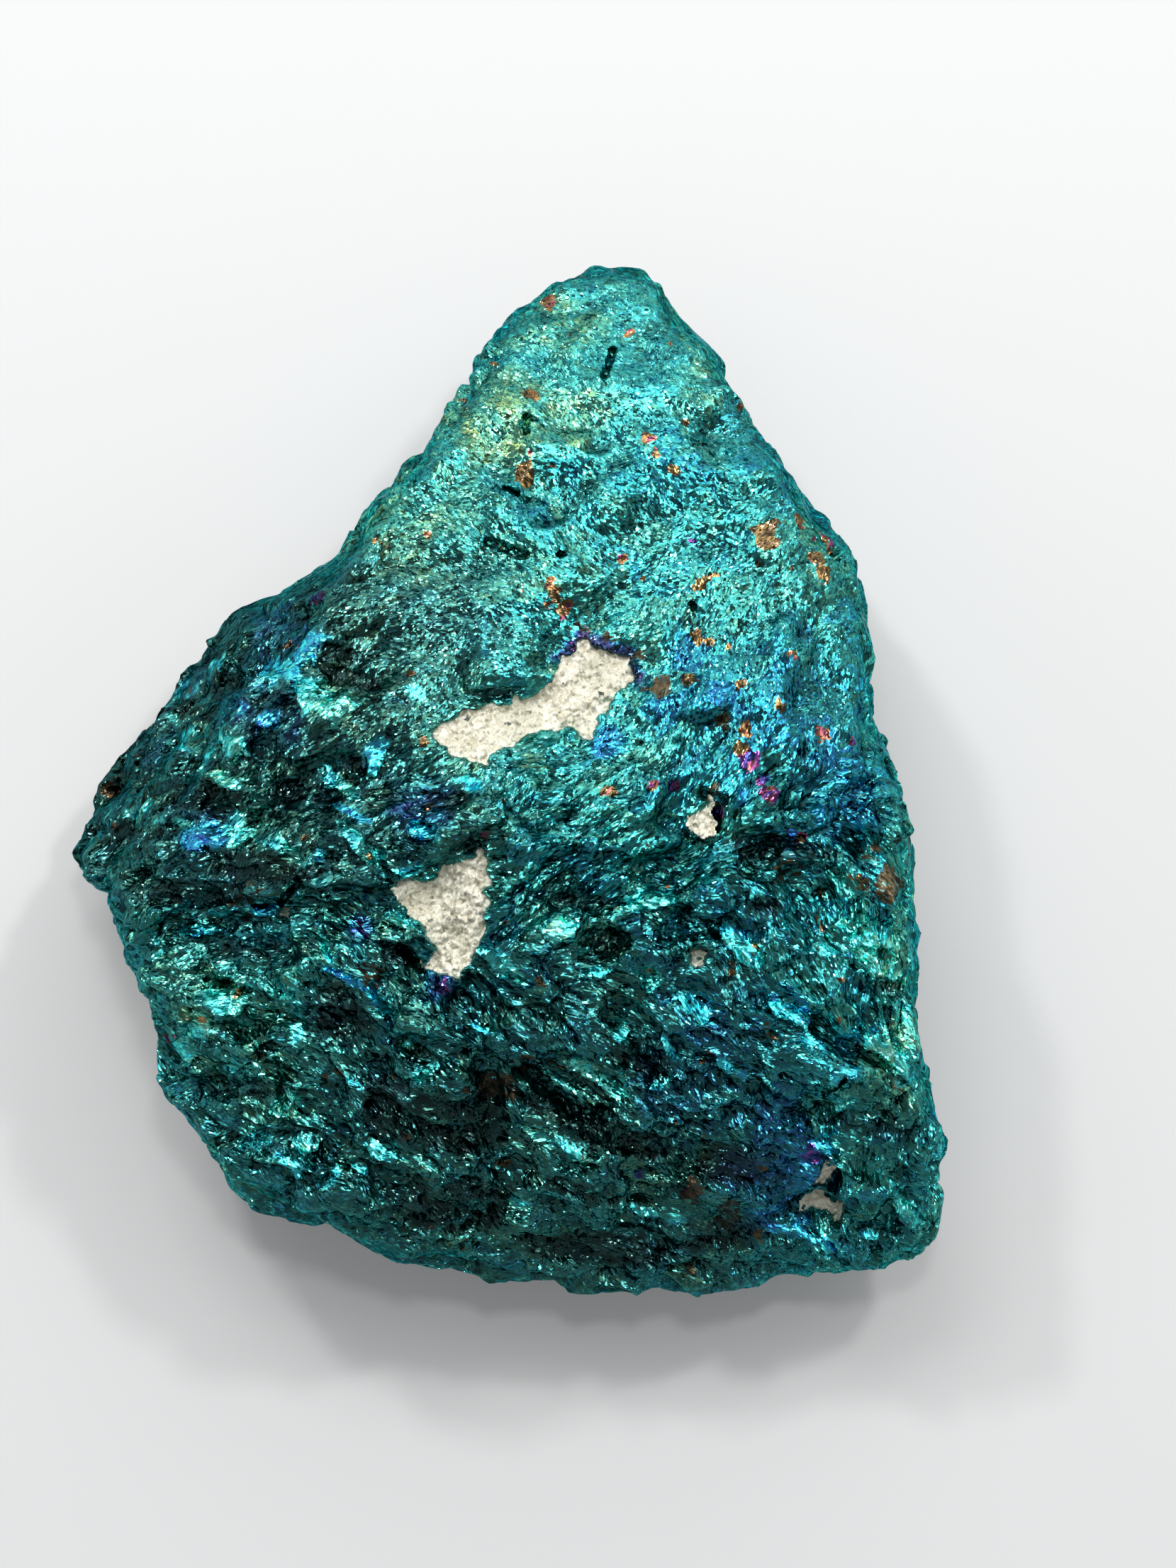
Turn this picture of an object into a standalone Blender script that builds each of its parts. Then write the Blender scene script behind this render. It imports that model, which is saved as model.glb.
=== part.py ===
"""A rough piece of tarnished chalcopyrite, lying on its back with its best face up.

Seen from above, +X is to the right, +Y runs to the narrow tip and +Z points away from the surface
that the stone lies on. The origin is on that surface, in the middle of the stone's own box.
The stone is made as one breaks out of the rock: a block with the outline seen from above, split
along fracture planes, then roughened with ledges, hollows and small crystal faces.
"""

import math

import bmesh
import bpy
import numpy as np
from mathutils import Vector, noise

MM = 0.001

# The outline seen from above, in millimetres, clockwise from the tip: 44 wide and 52 long.
OUTLINE = (
    (7.5, 26.3), (8.4, 24.6), (9.1, 23.1), (10.9, 21.9), (11.8, 19.7), (13.6, 17.6),
    (14.9, 15.1), (16.6, 13.0), (17.8, 10.8), (18.4, 8.9), (18.7, 5.5), (18.5, 3.3),
    (19.6, 1.2), (20.5, -2.2), (20.6, -6.0), (21.0, -10.1), (20.9, -12.1), (21.9, -17.1),
    (22.4, -20.3), (22.5, -23.1), (21.7, -24.3), (18.7, -24.9), (13.9, -25.2), (11.2, -25.7),
    (7.8, -26.2), (1.9, -25.4), (-4.5, -24.1), (-7.7, -22.9), (-11.9, -21.5), (-13.7, -20.3),
    (-15.0, -18.7), (-15.5, -16.8), (-16.7, -15.2), (-17.0, -12.0), (-18.5, -9.2),
    (-19.5, -5.8), (-21.5, -4.1), (-22.1, -2.4), (-21.5, -0.1), (-19.6, 2.0), (-17.5, 4.7),
    (-15.2, 6.6), (-12.7, 8.6), (-9.3, 10.4), (-7.1, 12.1), (-6.7, 13.9), (-3.7, 16.6),
    (-2.6, 18.6), (-0.9, 20.5), (-0.5, 22.2), (0.6, 23.7), (2.3, 24.7), (3.7, 25.7),
)

# The block that is split has the outline at full size at its waist and draws in above and below.
# Each level is its height, its scale, and how far it is moved in x and y, in millimetres.
BLOCK_LEVELS = (
    (0.0, 0.84, 0.4, -0.6),
    (4.2, 0.97, 0.1, -0.1),
    (5.8, 1.0, 0.0, 0.0),
    (9.0, 0.985, 0.1, -0.1),
    (22.0, 0.93, 0.7, -0.6),
)

# The crest crosses the stone from left to right and is its highest line.
CREST_HEIGHT = 19.8
CREST_Y = -3.0

# Fracture planes of the upper side. Each one passes through a point and falls away by so many
# millimetres for each millimetre travelled in +X and in +Y.
UPPER_FRACTURES = (
    # the broad upper half, falling to the tip
    ((0.0, CREST_Y, CREST_HEIGHT), (0.02, 0.27)),
    # the last stretch before the tip
    ((5.0, 19.0, 13.7), (-0.1, 0.55)),
    # the lower half, first gently and then steeply to the bottom rim
    ((0.0, CREST_Y, CREST_HEIGHT), (0.0, -0.2)),
    ((2.0, -13.5, 17.6), (0.05, -0.62)),
    ((6.0, -20.0, 13.4), (0.06, -1.0)),
    # the left wing, its ledges and the corner below it
    ((-9.0, -2.0, 18.7), (-0.3, 0.06)),
    ((-16.0, -3.0, 16.2), (-0.62, 0.16)),
    ((-9.0, -12.0, 16.5), (-0.42, -0.42)),
    # the right shoulder, low down and high up
    ((15.0, -7.0, 18.3), (0.32, -0.06)),
    ((15.5, 6.0, 16.2), (0.5, 0.2)),
    # the steep broken face beside the tip, on its left
    ((-1.6, 19.4, 14.0), (-2.1, 1.5)),
)

# Fracture planes of the underside, around the flat spot that the stone lies on. Each one faces
# a direction in degrees from +X, starts so far from the middle of the spot and rises so steeply.
REST_MIDDLE = (1.2, -3.2)
LOWER_FRACTURES = (
    (8, 6.8, 0.40),
    (62, 7.2, 0.24),
    (112, 7.6, 0.22),
    (163, 6.6, 0.30),
    (214, 7.0, 0.34),
    (265, 7.4, 0.31),
    (318, 6.9, 0.30),
)

# Grooves are below zero and ridges above it. Each one runs between two points with a half width
# and a height, all in millimetres.
RIDGES_AND_GROOVES = (
    # hollows that hold the two pale patches
    ((-2.6, 2.7), (1.0, 3.3), 1.3, -0.5),
    ((2.2, 4.2), (4.8, 6.2), 1.5, -0.6),
    ((-3.6, -5.2), (-2.2, -8.4), 1.7, -0.7),
    # the small holes
    ((9.9, -1.6), (9.8, -2.3), 0.9, -0.9),
    ((15.6, -20.4), (16.3, -21.4), 1.0, -0.9),
    # steps and hollows of the left wing
    ((-16.0, 4.2), (-12.6, 5.2), 1.3, -0.8),
    ((-12.0, -1.6), (-8.6, 0.2), 1.2, -0.7),
    ((-8.6, 5.2), (-5.8, 6.6), 1.2, -0.6),
    ((-17.6, 1.2), (-12.4, 2.2), 1.0, 0.6),
    ((-19.6, -1.2), (-14.0, -1.4), 0.9, 0.6),
    ((-12.4, -3.4), (-6.6, -3.6), 0.9, 0.8),
    ((-18.2, -6.0), (-6.6, -7.0), 1.3, -0.9),
    # the band below the crest and the lumps beside it
    ((7.6, -3.4), (15.8, -3.8), 1.2, -0.6),
    ((2.4, -5.4), (5.4, -6.0), 1.0, -0.6),
    ((1.6, -7.6), (3.4, -7.2), 1.2, 0.6),
    ((6.6, -6.0), (9.6, -5.6), 1.1, 0.5),
    # the valley and the ledges of the lower half
    ((2.8, -14.2), (0.4, -21.0), 1.4, -0.9),
    ((2.6, -17.8), (7.2, -15.6), 1.0, 0.6),
    ((-0.6, -18.6), (4.6, -19.6), 0.9, 0.5),
    ((11.4, -11.2), (15.8, -13.4), 1.2, 0.6),
    ((-15.8, -10.0), (-12.4, -12.2), 1.2, 0.6),
    ((-12.6, -15.4), (-9.4, -17.0), 1.1, 0.6),
)

SKIN_SPACING = 1.12  # side of the squares that the skin is made of
LUMP_SIZE = 6.5  # broad unevenness of a broken surface
LUMP_HEIGHT = 0.55
CRYSTAL_SIZE = 3.4  # flat crystal faces, each with a lean of its own
CRYSTAL_LEAN = 0.5
CRYSTAL_MOST = 0.4
RELIEF_ON_SIDES = 0.4  # share of the relief that the outline and the underside keep
REST_SNAP = 0.22  # skin lower than this over the rest spot is worn flat
NOISE_SEED = 7

TARNISH = (0.0, 0.24, 0.26, 1.0)


def clear_scene():
    for obj in list(bpy.data.objects):
        bpy.data.objects.remove(obj, do_unlink=True)


def block_ring(bm, level):
    """One loop of corners of the block, at one height."""
    height, scale, shift_x, shift_y = level
    return [bm.verts.new((scale * x + shift_x, scale * y + shift_y, height)) for x, y in OUTLINE]


def make_block(bm):
    """The unsplit block: the outline carried up through its levels and capped at both ends."""
    rings = [block_ring(bm, level) for level in BLOCK_LEVELS]
    count = len(OUTLINE)
    for lower, upper in zip(rings, rings[1:]):
        for i in range(count):
            j = (i + 1) % count
            bm.faces.new((lower[i], lower[j], upper[j], upper[i]))
    bm.faces.new(rings[0])
    bm.faces.new(rings[-1])
    bmesh.ops.recalc_face_normals(bm, faces=bm.faces)


def split(bm, point, outward):
    """Breaks off what lies beyond a plane and closes the break."""
    geometry = bm.verts[:] + bm.edges[:] + bm.faces[:]
    cut = bmesh.ops.bisect_plane(
        bm, geom=geometry, dist=1e-5, plane_co=point, plane_no=outward, clear_outer=True
    )
    border = [item for item in cut["geom_cut"] if isinstance(item, bmesh.types.BMEdge)]
    if border:
        bmesh.ops.holes_fill(bm, edges=border, sides=0)


def split_upper_side(bm):
    for point, (fall_x, fall_y) in UPPER_FRACTURES:
        split(bm, Vector(point), Vector((fall_x, fall_y, 1.0)).normalized())


def split_lower_side(bm):
    for degrees, start, rise in LOWER_FRACTURES:
        toward = Vector((math.cos(math.radians(degrees)), math.sin(math.radians(degrees)), 0.0))
        point = Vector((*REST_MIDDLE, 0.0)) + start * toward
        split(bm, point, (toward * rise - Vector((0.0, 0.0, 1.0))).normalized())


def to_object(name, bm):
    mesh = bpy.data.meshes.new(name)
    bm.to_mesh(mesh)
    bm.free()
    obj = bpy.data.objects.new(name, mesh)
    bpy.context.scene.collection.objects.link(obj)
    return obj


def evenly_skinned(block):
    """The same shape with a skin of small even squares, ready to be roughened."""
    skin = block.modifiers.new("Even skin", "REMESH")
    skin.mode = "VOXEL"
    skin.voxel_size = SKIN_SPACING
    graph = bpy.context.evaluated_depsgraph_get()
    mesh = bpy.data.meshes.new_from_object(block.evaluated_get(graph))
    bpy.data.objects.remove(block, do_unlink=True)
    return mesh


def crystal_faces(point):
    """How far a small flat crystal face stands out at a point. Each cell leans its own way."""
    nearest = noise.voronoi(point / CRYSTAL_SIZE)[1][0]
    lean = CRYSTAL_LEAN * noise.noise_vector(nearest * CRYSTAL_SIZE)
    height = lean.dot(point - nearest * CRYSTAL_SIZE)
    return max(-CRYSTAL_MOST, min(CRYSTAL_MOST, height))


def ridges_and_grooves(x, y):
    """The sum of the hand-placed ridges and grooves of the upper side, at a place seen from above."""
    height = 0.0
    for start, end, half_width, rise in RIDGES_AND_GROOVES:
        along = Vector(end) - Vector(start)
        offset = Vector((x, y)) - Vector(start)
        share = max(0.0, min(1.0, offset.dot(along) / along.length_squared))
        away = (offset - share * along).length / half_width
        height += rise * math.exp(-away * away)
    return height


def roughen(mesh):
    """Moves every point of the skin in or out, and wears the rest spot flat."""
    places = [vertex.co.copy() for vertex in mesh.vertices]
    normals = [vertex.normal.copy() for vertex in mesh.vertices]
    for vertex, place, normal in zip(mesh.vertices, places, normals):
        relief = LUMP_HEIGHT * noise.noise(place / LUMP_SIZE) + crystal_faces(place)
        relief *= max(RELIEF_ON_SIDES, normal.z)
        if normal.z > 0.0:
            relief += normal.z * ridges_and_grooves(place.x, place.y)
        moved = place + relief * normal
        if moved.z < REST_SNAP:
            moved.z = 0.0
        vertex.co = moved


def centre_and_scale(mesh):
    """Puts the origin under the middle of the stone's box and turns millimetres into metres."""
    places = np.empty(len(mesh.vertices) * 3, np.float32)
    mesh.vertices.foreach_get("co", places)
    places = places.reshape(-1, 3)
    middle = (places.min(axis=0) + places.max(axis=0)) / 2.0
    middle[2] = 0.0
    mesh.vertices.foreach_set("co", ((places - middle) * MM).ravel())
    mesh.update()


def tarnished_ore():
    material = bpy.data.materials.new("chalcopyrite")
    material.use_nodes = True
    shader = material.node_tree.nodes["Principled BSDF"]
    shader.inputs["Base Color"].default_value = TARNISH
    shader.inputs["Metallic"].default_value = 1.0
    shader.inputs["Roughness"].default_value = 0.35
    return material


def build_stone():
    bm = bmesh.new()
    make_block(bm)
    split_upper_side(bm)
    split_lower_side(bm)
    mesh = evenly_skinned(to_object("block", bm))
    roughen(mesh)
    centre_and_scale(mesh)
    mesh.name = "chalcopyrite"
    mesh.materials.clear()
    mesh.materials.append(tarnished_ore())
    stone = bpy.data.objects.new("chalcopyrite", mesh)
    bpy.context.scene.collection.objects.link(stone)
    return stone


noise.seed_set(NOISE_SEED)
clear_scene()
build_stone()
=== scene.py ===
"""Looks of a rough piece of tarnished chalcopyrite, lying on its back under soft studio light.

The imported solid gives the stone's size, place and main breaks. This script gives it a skin of
small crystal faces and ledges, a tarnish that runs from gold through violet and blue to teal,
and patches of white sugary gangue. Lengths are in millimetres until a mesh is finished.
"""

import itertools
import math

import bmesh
import bpy
import numpy as np
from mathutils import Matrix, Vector
from mathutils.bvhtree import BVHTree


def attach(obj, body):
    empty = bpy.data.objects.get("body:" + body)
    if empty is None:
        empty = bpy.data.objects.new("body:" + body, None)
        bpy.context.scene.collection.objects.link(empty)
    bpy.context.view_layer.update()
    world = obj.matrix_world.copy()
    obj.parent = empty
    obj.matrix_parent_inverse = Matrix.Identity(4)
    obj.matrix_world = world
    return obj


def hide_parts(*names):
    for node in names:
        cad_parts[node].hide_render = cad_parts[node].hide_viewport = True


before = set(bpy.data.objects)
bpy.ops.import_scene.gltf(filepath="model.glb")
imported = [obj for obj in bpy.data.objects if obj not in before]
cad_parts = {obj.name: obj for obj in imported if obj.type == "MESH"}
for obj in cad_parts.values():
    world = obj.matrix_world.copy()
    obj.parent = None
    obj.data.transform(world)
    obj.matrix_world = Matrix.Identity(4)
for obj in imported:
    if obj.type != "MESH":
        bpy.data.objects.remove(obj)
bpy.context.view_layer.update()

MM = 0.001
BODY = "root"
NODE = "chalcopyrite"

# The photograph's frame, and where the middle of the stone's outline lies in it.
PHOTO_WIDTH = 1659
PHOTO_HEIGHT = 2212
PIXELS_PER_MM = 27.9
STONE_MIDDLE = (716.5, 1102.5)
OUTLINE_HEIGHT = 7.0  # the stone is widest at this height
CAMERA_DISTANCE = 300.0  # from the outline's height up to the camera
CAMERA_X = (PHOTO_WIDTH / 2 - STONE_MIDDLE[0]) / PIXELS_PER_MM
CAMERA_Y = (STONE_MIDDLE[1] - PHOTO_HEIGHT / 2) / PIXELS_PER_MM
SENSOR_MM = 36.0

# The skin before it is thinned out, and the triangles left afterwards.
VOXEL = 0.13
SKIN_TRIANGLES = 196000
SOFTEN_STEPS = 14
THIN_FACTOR = 0.01
CREASE = math.radians(22.0)

# Places in the tables are as the camera sees them, at the outline's height. This one says which
# way the crystals are drawn out: place and angle in degrees.
STREAKS = (
    (-16, 3, 38), (-17, -4, 30), (-9, 6, 30), (-13, -12, -20),
    (-4, -14, -42), (5, -14, -34), (13, -13, -35), (19, -10, -62),
    (20, -18, -58), (3, -4, 30), (11, 4, 65), (2, 16, -40),
)
STREAK_SPREAD = math.radians(38.0)  # how far one crystal may turn from its neighbours
STREAK_STRETCH = (1.8, 3.0)  # on the fine side of the stone and on the coarse side

# Three sizes of flat breaks: height where the stone is fine, what its coarse side adds, stretch
# along the streaks, size, lean, step from one to the next, salt, and how much a lit face calms
# them.
BREAKS = (
    (0.06, 0.39, 2.2, 3.8, 0.8, 0.05, 11, 0.7),
    (0.04, 0.31, 2.0, 1.7, 0.6, 0.07, 12, 0.7),
    (0.09, 0.37, 1.8, 0.75, 0.5, 0.08, 13, 0.0),
)
FACET_EDGE = 26.0  # how sharp the step is from one facet to the next
RIDGE_HEIGHT = (0.04, 0.48)  # where the stone is fine, and what its coarse side adds
RIDGE_STRETCH = 4.5
RIDGE_CALM = 0.7
HOLLOW_DEPTH = 0.35
HOLLOW_SOFTNESS = 0.35
SIDE_RELIEF = 0.8  # share of the relief that is left where the sides are upright
SIDE_COARSENESS = 0.8
COARSE_LOW = (-4.0, 6.0)  # lengthwise
COARSE_LEFT = (-13.0, -3.0)
COARSE_LEFT_END = (8.0, 13.0)  # lengthwise

# Where the surface faces up enough, from 0 upright to 1 level, for what is placed as seen.
RELIEF_FADE = (0.2, 0.5)
PATCH_FADE = (0.2, 0.6)
FILM_FADE = (0.15, 0.45)
ACCENT_FADE = (0.3, 0.6)
SHADE_FADE = (0.05, 0.35)
SIDE_FADE = (0.15, 0.9)
LEVEL_FADE = (0.5, 0.85)
GAP_EDGE = (-0.1, 0.25)  # of the gaps in placed faces where it is steep

# Outlines of the white patches, clockwise.
PATCHES = {
    "gangue_long_patch": (
        (-3.7, 2.6), (-2.7, 3.4), (-1.3, 3.9), (0.1, 3.9), (1.6, 4.4), (2.3, 5.8), (3.7, 7.2),
        (5, 6.7), (6, 6.2), (6.5, 5.5), (5.9, 4.7), (5, 4), (4.2, 2.2), (3, 2.6),
        (1.6, 2.6), (0.1, 1.8), (-1.1, 1), (-2.4, 1.2), (-3.5, 1.9),
    ),
    "gangue_corner_patch": (
        (-5.8, -5.3), (-4.2, -4.9), (-2.9, -4.2), (-1.3, -3.6), (-1, -4.9), (-1.1, -6.7),
        (-1.3, -8), (-2, -9.2), (-2.5, -10.1), (-3.3, -9.6), (-4.2, -9.4), (-3.8, -8.2),
        (-4.4, -7.1), (-5.3, -6.2),
    ),
    "gangue_in_oval_hole": (
        (10.2, -1.2), (10.1, -1.7), (10.3, -2.1), (10, -2.2), (10.1, -2.5), (9.8, -2.8),
        (9.5, -2.6), (9.4, -2.1), (9.5, -1.6),
    ),
    "gangue_in_left_crack": (
        (-10.6, -5.5), (-10.7, -6), (-10.9, -6.5), (-11, -6.9), (-11.3, -6.6), (-11.5, -6.2),
        (-11.1, -5.9), (-10.8, -5.6),
    ),
    "gangue_in_low_hole": (
        (16, -19.5), (16.4, -19.6), (16.1, -20.6), (15.8, -21), (16.4, -21.3), (16.8, -21.1),
        (17, -21.3), (16.7, -22), (16, -21.6), (15.2, -21.6), (15, -21.3), (15.3, -20.7),
    ),
    "gangue_in_pit": (
        (9.4, -9), (9.7, -9.1), (10, -8.9), (9.9, -9.3), (9.5, -9.3),
    ),
}
PATCH_EDGE = (-0.08, 0.1)  # where the ore ends and where the patch is whole
RIM_EDGE = (-0.75, -0.3)  # the same for the violet rim round the long patch
RAGGED_REACH = 2.0  # farther out than any ragged edge
PATCH_FLOOR = 0.85  # depth of the hollow that a patch fills
PATCH_TOP = 0.4  # how far the patch's own surface lies below the ore
PATCH_SKIRT = 0.3  # how far a patch runs on under the ore
PATCH_ROOT = 1.2  # how far it reaches down
PATCH_MARGIN = 0.6  # how far round its outline a patch is looked for
GRAIN_STEP = 0.07
GRAIN_BREAKS = (0.32, 0.8, 0.16, 91)  # size, lean, step and salt

# Smooth patterns: strength, size, salt and layers. The first nine make placed shapes ragged.
PATTERNS = {
    "patch": (0.35, 0.9, 71, 3), "pit": (0.5, 0.5, 75, 2), "lit": (0.55, 0.9, 31, 3),
    "hollow": (0.4, 1.6, 35, 3), "bright": (0.5, 3.0, 87, 3), "film": (0.5, 2.4, 51, 4),
    "spot": (0.75, 0.9, 61, 3), "dull": (0.7, 1.2, 81, 3), "dark": (2.5, 6.0, 85, 3),
    "ridges": (1.0, 1.5, 15, 2), "lumps": (0.03, 1.1, 21, 3), "gaps": (1.0, 2.0, 95, 2),
    "film change": (1.0, 7.0, 41, 4), "flecks": (1.0, 1.5, 64, 4), "brown sides": (1.0, 5.0, 83, 4),
    "gangue": (0.1, 1.3, 92, 3),
}

# Dark open pits and cracks: two ends, half width and depth.
PITS = (
    ((5.3, 21.8), (4.9, 20.5), 0.13, 0.6), ((0.9, 18.4), (0.9, 17.7), 0.15, 0.4),
    ((0.9, 18.4), (1.4, 18.3), 0.1, 0.3), ((-1, 12.1), (0.8, 11.5), 0.2, 0.4),
    ((-0.2, 14.9), (0.5, 14.6), 0.1, 0.5), ((2.6, 11.5), (2.8, 11.5), 0.12, 0.35),
    ((9.3, 9), (9.4, 8.8), 0.13, 0.4), ((9.9, -0.6), (10.8, -1), 0.25, 0.8),
    ((10.5, -1.4), (10.4, -2.1), 0.2, 0.9), ((-12.6, -6.2), (-11.7, -6), 0.15, 0.7),
    ((-11.3, -5.8), (-10.4, -4.8), 0.13, 0.7), ((16.6, -19.8), (16.3, -20.9), 0.25, 1),
    ((9.4, -8.7), (9.9, -8.7), 0.2, 0.9), ((10.3, -7.6), (10.6, -7.9), 0.12, 0.6),
    ((-5.4, -8.6), (-4.6, -9.3), 0.25, 0.7),
)
PIT_EDGE = (0.4, 1.6)  # in half widths

# The large crystal faces that catch the light: middle, half length, half width, the angle of the
# length in degrees, and the tarnish film on the face.
# The mesh leans these faces towards the light; the material also brightens them with painted light.
LIT_FACES = (
    # left wing, downward
    (-15.8, 5.2, 2, 0.4, 45, 0.64), (-11.5, 5.6, 2.8, 0.6, 38, 0.58),
    (-9.2, 4, 1.7, 0.8, -20, 0.72), (-4.5, 4.5, 0.6, 0.3, -25, 0.72),
    (-13.8, 3.7, 0.5, 0.25, -10, 0.7), (-12.1, 3.2, 0.7, 0.35, 20, 0.5),
    (-15.2, 1.9, 1.7, 0.75, -15, 0.74), (-14.1, 0, 1.5, 0.4, -27, 0.74),
    (-6.8, 1.1, 1, 0.45, 70, 0.63), (-8.5, -0.2, 1.2, 0.35, -35, 0.72),
    (-2, 0, 0.7, 0.4, -20, 0.66), (-18.6, -1.4, 1.2, 0.6, -10, 0.73),
    (-16.4, -2.1, 0.5, 0.22, -10, 0.76), (-7.9, -1.6, 1.2, 0.18, -27, 0.58),
    (-15.3, -2.8, 1, 0.75, 10, 0.55), (-13.8, -2.4, 0.9, 0.75, 40, 0.66),
    (-12.2, -2.9, 0.9, 0.6, -30, 0.7), (-4.3, -2.5, 0.7, 0.4, -20, 0.66),
    (-9.5, -3.7, 0.45, 0.3, 75, 0.66), (-10.9, -3.8, 0.8, 0.5, -15, 0.7),
    (-7.2, -3.5, 1.8, 0.4, -48, 0.75), (-4.7, -4.5, 0.7, 0.22, 20, 0.7),
    (-5.5, -6.9, 1.2, 0.4, -15, 0.7), (-12.2, -6.5, 0.6, 0.22, 5, 0.58),
    (-15.7, -7.5, 0.9, 0.3, 0, 0.6),
    # lower left
    (-9.2, -8.6, 0.8, 0.2, -60, 0.66), (-8.3, -9.9, 1.3, 0.18, -25, 0.56),
    (-0.7, -8.9, 0.9, 0.35, -45, 0.74), (-14.2, -10.9, 1.1, 0.8, -10, 0.76),
    (-11.1, -10.9, 0.55, 0.35, -10, 0.76), (-6.5, -11.1, 0.9, 0.28, -50, 0.63),
    (-1.3, -12.5, 0.6, 0.2, -15, 0.64), (-16, -13, 1.2, 0.6, 60, 0.76),
    (-10.7, -12.8, 0.9, 0.45, -50, 0.74), (-4.8, -13.2, 0.8, 0.16, 15, 0.7),
    (-8.6, -13.6, 0.5, 0.2, 0, 0.74), (-13.7, -14.5, 0.6, 0.25, 5, 0.74),
    (-4.2, -14.7, 1.1, 0.25, 32, 0.74), (-7.7, -15.3, 0.5, 0.15, -30, 0.56),
    (-11.3, -16.4, 0.7, 0.45, 20, 0.75), (-12.7, -18.2, 0.8, 0.35, 10, 0.68),
    (-10.2, -18.3, 0.7, 0.35, -20, 0.75), (-6.5, -18.6, 0.8, 0.35, -22, 0.66),
    (-11, -19.4, 0.8, 0.25, -45, 0.6), (-8.8, -19.9, 0.8, 0.25, 50, 0.65),
    (-7.5, -19.6, 0.5, 0.22, -10, 0.63),
    # middle of the lower half
    (7.4, -5.9, 1.3, 0.5, 10, 0.7), (2.6, -7.4, 0.8, 0.55, -15, 0.75),
    (4.7, -9.6, 0.4, 0.35, 0, 0.66), (0.3, -9.6, 0.8, 0.16, -42, 0.76),
    (7.3, -10.2, 0.5, 0.3, 30, 0.75), (9.4, -11.4, 1.2, 0.55, -35, 0.68),
    (5.6, -12.8, 0.5, 0.3, -10, 0.68), (8.3, -13.7, 0.8, 0.22, -52, 0.64),
    (4.9, -15.2, 1.8, 0.42, -38, 0.75), (2.9, -15.4, 1.3, 0.13, -32, 0.76),
    (7.7, -15.3, 0.8, 0.25, 20, 0.7), (2.4, -18.3, 2, 0.26, -29, 0.72),
    (0.7, -21.4, 0.6, 0.3, -35, 0.68), (7.5, -21.9, 1.5, 0.2, -12, 0.64),
    # lower right
    (11.8, -8.2, 1.3, 0.6, -45, 0.66), (18.2, -7.6, 1.6, 0.6, -25, 0.74),
    (18.8, -9.2, 1.2, 0.4, -30, 0.75), (14.3, -11.7, 1.2, 0.5, -35, 0.68),
    (15.4, -13.3, 0.6, 0.3, -30, 0.66), (19, -13.6, 1.1, 0.45, -30, 0.76),
    (11.3, -14.5, 1.1, 0.25, -30, 0.62), (20.4, -14.7, 0.6, 0.3, -60, 0.74),
    (16.6, -15, 0.7, 0.16, 40, 0.7), (17, -16.3, 0.8, 0.25, 25, 0.7),
    (16, -18.5, 0.7, 0.25, -20, 0.58), (18.6, -19.9, 0.9, 0.28, -30, 0.7),
    (20.2, -21.6, 1, 0.45, -50, 0.76), (13.9, -22.6, 0.6, 0.2, 10, 0.6),
    (15.9, -23.3, 1.3, 0.25, -25, 0.62), (18, -22.9, 0.5, 0.18, -10, 0.63),
)
LIT_SOFTNESS = 0.1
LIT_GRADIENT = 0.4  # how steeply a lit face has to fall away to send light up to the camera
LIT_LEAN = (0.1, 0.9)  # the least and the most that a face leans against the surface around it

# Dark hollows and faces turned from the light: the same, with a strength in place of the film. They are
# pressed into the relief, and their darkness in the colour is painted shade.
DARK_HOLLOWS = (
    (-0.3, 4.5, 1.6, 0.25, 5, 0.8), (-8.8, 6.5, 1.2, 0.4, -10, 0.6), (-7.9, 5.2, 1.4, 0.4, -20, 0.8),
    (-14, 4.8, 1.5, 0.7, 0, 1), (-15.6, 3.5, 1.6, 0.4, -15, 0.9), (-7.9, 0.9, 0.6, 0.4, 0, 0.6),
    (-11.2, -0.6, 0.9, 0.6, 0, 0.5), (-16.7, -0.5, 2.2, 0.7, -10, 1), (-3.2, -1, 1, 0.5, -10, 0.6),
    (-19.3, -2.7, 1.7, 0.5, 0, 1), (-2.2, -3.2, 1, 0.4, 15, 0.8), (-12.5, -4.3, 2.3, 0.65, 0, 1),
    (-16, -5.6, 2.6, 0.6, 0, 0.6), (13.6, -3.4, 2.8, 0.45, -5, 0.9), (3.4, -6, 1.8, 0.35, -5, 0.7),
    (12.7, -6.4, 0.9, 0.4, 0, 1), (4.9, -8.3, 0.7, 0.6, 0, 0.8), (-12.5, -8.5, 2.4, 0.5, 0, 0.7),
    (-5.4, -8.7, 0.8, 0.6, 0, 0.9), (19.4, -10.6, 1, 0.45, -10, 0.7), (-8.6, -11.8, 1.4, 1.1, -45, 0.9),
    (17.7, -13.6, 0.6, 0.5, 0, 0.8), (-12.5, -13.8, 0.7, 0.3, 30, 0.9), (6.6, -14.1, 1.5, 0.6, -27, 1),
    (-13, -15.6, 1.6, 0.5, 0, 0.5), (-6.2, -16.4, 1.1, 1.5, 0, 1), (-2.6, -17.2, 2.3, 1.5, 0, 1),
    (3.2, -17, 2.4, 0.55, -28, 0.9), (18.5, -17.4, 2.2, 0.5, -10, 0.6), (6.3, -18.1, 1.8, 0.7, -15, 1),
    (11.4, -19.3, 2.2, 0.9, -5, 0.8), (-2.8, -21.5, 2.5, 1.2, 0, 1), (3.5, -20.6, 2, 0.35, -10, 0.8),
    (4.5, -23.6, 3.2, 0.8, -5, 0.9), (10.6, -23, 1.9, 0.9, 0, 0.8),
)

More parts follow.
